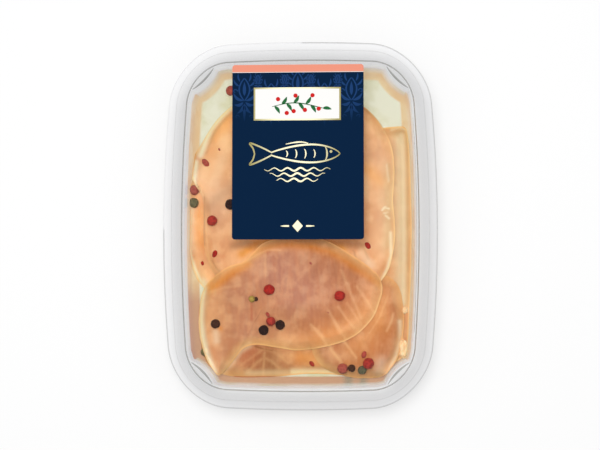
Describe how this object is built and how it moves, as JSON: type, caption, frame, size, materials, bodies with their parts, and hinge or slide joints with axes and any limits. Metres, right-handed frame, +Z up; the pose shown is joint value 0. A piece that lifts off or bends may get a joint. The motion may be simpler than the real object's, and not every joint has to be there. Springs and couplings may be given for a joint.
{
  "type": "sealed tray of fish carpaccio",
  "caption": "Clear sealed tray holding thin overlapping slices of salmon in oil with mixed peppercorns, closed by a clear film that carries a dark blue label.",
  "frame": {"origin": "centre of the tray's underside, under the middle of its rim, at z = 0", "axes": "+X to the tray's right and +Y to its far short end as seen from above with the label at the far end, +Z up; the long side lies along Y"},
  "size_m": [0.1194, 0.16, 0.0215],
  "materials": {
    "clear_tray": "clear thermoformed plastic, glossy",
    "clear_film": "thin clear film, glossy and slightly rippled",
    "label_print": "dark blue print, satin, with a coral band and a thin gold frame",
    "fish": "raw salmon under oil, moist and slightly see-through, with pale cut edges",
    "pink_pepper": "dry papery skin, wrinkled",
    "black_pepper": "deeply wrinkled, dull",
    "green_pepper": "wrinkled, dull, grey green",
    "oil": "clear pale yellow oil"
  },
  "bodies": {
    "root": {"tray": "clear_tray", "film": "clear_film", "label": "label_print", "slice_floor_right": "fish", "slice_floor_top": "fish", "slice_floor_front": "fish", "slice_corner": "fish", "slice_left": "fish", "slice_upper": "fish", "slice_front": "fish", "peppercorn_loose": "pink_pepper"}
  },
  "joints": []
}
